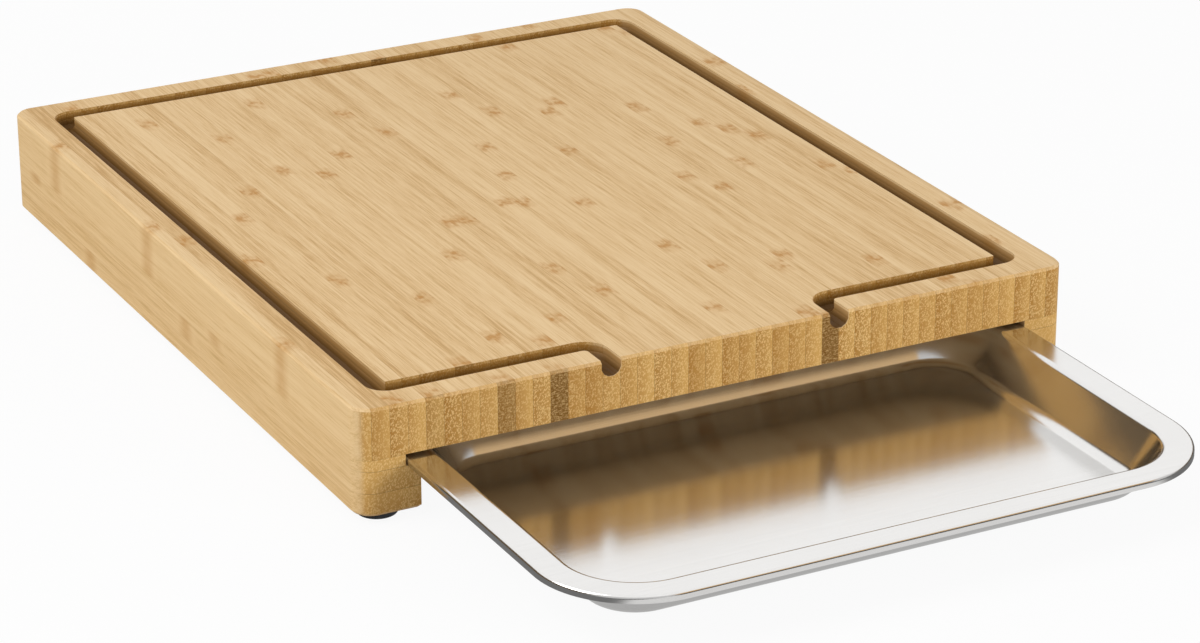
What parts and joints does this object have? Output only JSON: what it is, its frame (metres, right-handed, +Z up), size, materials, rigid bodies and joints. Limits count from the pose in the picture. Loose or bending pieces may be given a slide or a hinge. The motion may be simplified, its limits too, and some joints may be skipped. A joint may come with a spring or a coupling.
{
  "type": "cutting board with drawer tray",
  "caption": "Thick bamboo cutting board on feet, with a juice groove whose spouts empty into a steel tray that slides out under the front edge.",
  "frame": {"origin": "on the table, in the middle of the board's width, half way between the pulled-out tray's front and the board's back", "axes": "+X to the right, +Y from the tray's front to the board's back, +Z up"},
  "size_m": [0.33, 0.5436, 0.05],
  "materials": {
    "bamboo_slab": "oiled, edge-glued bamboo staves",
    "bamboo_base": "oiled bamboo plies",
    "foot_rubber": "matt black",
    "tray_steel": "satin stainless sheet"
  },
  "bodies": {
    "board": {"stave_01": "bamboo_slab", "stave_02": "bamboo_slab", "stave_03": "bamboo_slab", "stave_04": "bamboo_slab", "stave_05": "bamboo_slab", "stave_06": "bamboo_slab", "stave_07": "bamboo_slab", "stave_08": "bamboo_slab", "stave_09": "bamboo_slab", "stave_10": "bamboo_slab", "stave_11": "bamboo_slab", "stave_12": "bamboo_slab", "stave_13": "bamboo_slab", "stave_14": "bamboo_slab", "stave_15": "bamboo_slab", "stave_16": "bamboo_slab", "stave_17": "bamboo_slab", "stave_18": "bamboo_slab", "stave_19": "bamboo_slab", "stave_20": "bamboo_slab", "stave_21": "bamboo_slab", "stave_22": "bamboo_slab", "stave_23": "bamboo_slab", "stave_24": "bamboo_slab", "stave_25": "bamboo_slab", "stave_26": "bamboo_slab", "stave_27": "bamboo_slab", "stave_28": "bamboo_slab", "stave_29": "bamboo_slab", "stave_30": "bamboo_slab", "stave_31": "bamboo_slab", "stave_32": "bamboo_slab", "stave_33": "bamboo_slab", "stave_34": "bamboo_slab", "stave_35": "bamboo_slab", "stave_36": "bamboo_slab", "stave_37": "bamboo_slab", "stave_38": "bamboo_slab", "stave_39": "bamboo_slab", "stave_40": "bamboo_slab", "stave_41": "bamboo_slab", "stave_42": "bamboo_slab", "left_spacer": "bamboo_base", "right_spacer": "bamboo_base", "stop_spacer": "bamboo_base", "back_spacer": "bamboo_base", "left_rail_lower": "bamboo_base", "left_rail_upper": "bamboo_base", "right_rail_lower": "bamboo_base", "right_rail_upper": "bamboo_base", "stop_rail_lower": "bamboo_base", "stop_rail_upper": "bamboo_base", "back_rail_lower": "bamboo_base", "back_rail_upper": "bamboo_base", "foot_front_left": "foot_rubber", "foot_front_right": "foot_rubber", "foot_back_left": "foot_rubber", "foot_back_right": "foot_rubber"},
    "tray": {"tray": "tray_steel"}
  },
  "joints": [
    {"name": "tray_slide", "type": "slide", "parent": "board", "child": "tray", "axis": [0, -1, 0], "range_m": [-0.1535, 0.0425]}
  ]
}
